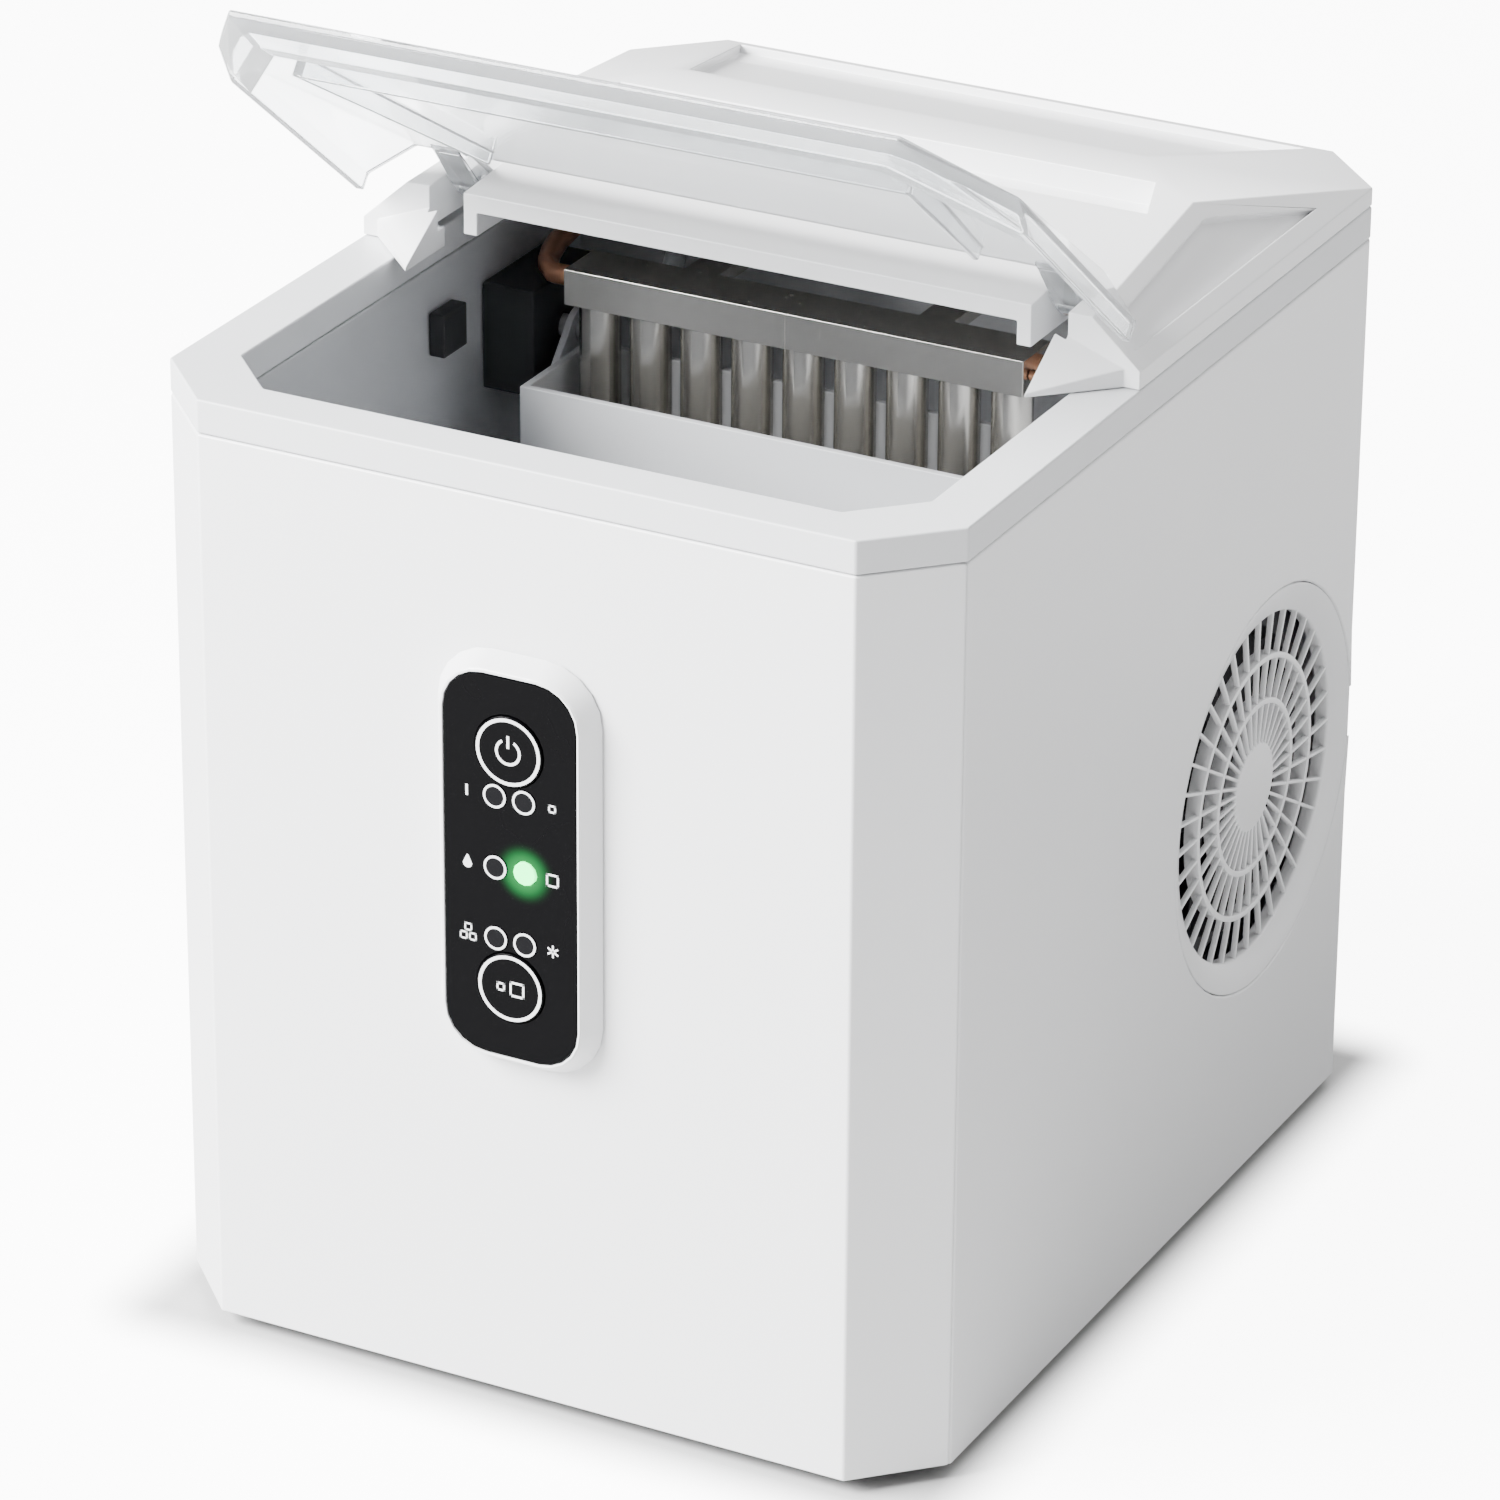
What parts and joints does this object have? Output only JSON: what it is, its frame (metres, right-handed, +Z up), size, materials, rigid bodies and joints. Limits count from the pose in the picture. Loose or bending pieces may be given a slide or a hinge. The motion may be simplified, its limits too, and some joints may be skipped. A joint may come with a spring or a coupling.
{
  "type": "countertop ice maker",
  "caption": "Box-shaped countertop ice maker with chamfered corners, a hinged clear lid over the ice bin, a front control panel and a round fan grille on one side.",
  "frame": {"origin": "on the floor plane, at the middle of the bounding box's footprint", "axes": "+Z up; the control panel faces -Y; +X is to the right as seen from the front, on the fan grille's side"},
  "size_m": [0.222, 0.2918, 0.3562],
  "materials": {
    "white_shell": "glossy white moulded plastic",
    "rim_plastic": "satin pale grey moulded plastic",
    "tub_plastic": "grey moulded liner",
    "basket_plastic": "pale grey moulded plastic",
    "clear_lid": "clear polished plastic",
    "panel_black": "glossy black",
    "lamp_off": "unlit lens",
    "lamp_green": "green lens, lit",
    "dark_plastic": "matt dark plastic",
    "clear_hose": "translucent silicone",
    "rubber_black": "matt black rubber",
    "screw_steel": "bright zinc",
    "nickel_plate": "satin nickel plate",
    "copper": "drawn copper",
    "fin_aluminium": "mill finish",
    "compressor_paint": "black enamel",
    "motor_steel": "zinc-plated steel",
    "circuit_board": "green solder mask"
  },
  "bodies": {
    "housing": {"base_pan": "dark_plastic", "front_panel": "white_shell", "left_side_panel": "white_shell", "right_side_panel": "white_shell", "rear_panel": "white_shell", "top_frame": "rim_plastic", "rear_top_cover": "white_shell", "hinge_pin_left": "screw_steel", "hinge_pin_right": "screw_steel", "control_bezel": "white_shell", "control_faceplate": "panel_black", "lamp_power": "lamp_off", "lamp_small_ice": "lamp_off", "lamp_add_water": "lamp_off", "lamp_large_ice": "lamp_green", "lamp_ice_full": "lamp_off", "lamp_clean": "lamp_off", "control_board": "circuit_board", "inner_tub": "tub_plastic", "evaporator": "nickel_plate", "tray_motor": "dark_plastic", "ice_level_sensor_left": "dark_plastic", "ice_level_sensor_right": "dark_plastic", "fan_grille": "white_shell", "fan_housing": "dark_plastic", "fan_motor": "motor_steel", "compressor": "compressor_paint", "condenser": "fin_aluminium", "filter_drier": "copper", "hot_gas_valve": "dark_plastic", "discharge_tube": "copper", "liquid_tube": "copper", "capillary_tube": "copper", "suction_tube": "copper", "hot_gas_tube": "copper", "water_pump": "dark_plastic", "water_hose": "clear_hose", "float_stem": "basket_plastic", "drain_hose": "clear_hose", "cord_gland": "rubber_black", "foot_front_left": "rubber_black", "foot_front_right": "rubber_black", "foot_rear_left": "rubber_black", "foot_rear_right": "rubber_black", "rear_screw_lower_left": "screw_steel", "rear_screw_lower_right": "screw_steel", "rear_screw_upper_left": "screw_steel", "rear_screw_upper_right": "screw_steel"},
    "lid": {"lid": "clear_lid"},
    "ice_basket": {"ice_basket": "basket_plastic"},
    "water_tray": {"water_tray": "tub_plastic"},
    "ice_shovel": {"ice_shovel": "basket_plastic"},
    "fan_rotor": {"fan_rotor": "dark_plastic"},
    "power_button": {"power_button": "panel_black"},
    "select_button": {"select_button": "panel_black"},
    "level_float": {"level_float": "white_shell"},
    "drain_cap": {"drain_cap": "dark_plastic"}
  },
  "joints": [
    {"name": "lid_hinge", "type": "hinge", "parent": "housing", "child": "lid", "pos_m": [0, -0.0068, 0.27418], "axis": [-1, 0, 0], "range_deg": [-39, 51]},
    {"name": "basket_lift", "type": "slide", "parent": "housing", "child": "ice_basket", "axis": [0, 0, 1], "range_m": [0, 0.045]},
    {"name": "tray_tilt", "type": "hinge", "parent": "housing", "child": "water_tray", "pos_m": [0, 0.0276, 0.224], "axis": [1, 0, 0], "range_deg": [0, 75]},
    {"name": "shovel_swing", "type": "hinge", "parent": "housing", "child": "ice_shovel", "pos_m": [0, 0.0276, 0.224], "axis": [1, 0, 0], "range_deg": [0, 60]},
    {"name": "fan_spin", "type": "hinge", "parent": "housing", "child": "fan_rotor", "pos_m": [0.09, 0.0646, 0.115], "axis": [1, 0, 0], "continuous": true},
    {"name": "power_press", "type": "slide", "parent": "housing", "child": "power_button", "axis": [0, 1, 0], "range_m": [0, 0.001], "stiffness_N_per_m": 400, "springref_m": -0.0005},
    {"name": "select_press", "type": "slide", "parent": "housing", "child": "select_button", "axis": [0, 1, 0], "range_m": [0, 0.001], "stiffness_N_per_m": 400, "springref_m": -0.0005},
    {"name": "float_rise", "type": "slide", "parent": "housing", "child": "level_float", "axis": [0, 0, 1], "range_m": [0, 0.02]},
    {"name": "drain_cap_pull", "type": "slide", "parent": "housing", "child": "drain_cap", "axis": [0, 1, 0], "range_m": [0, 0.014]}
  ],
  "couplings": [
    {"joint": "shovel_swing", "follows": "tray_tilt", "ratio": 0.8}
  ]
}
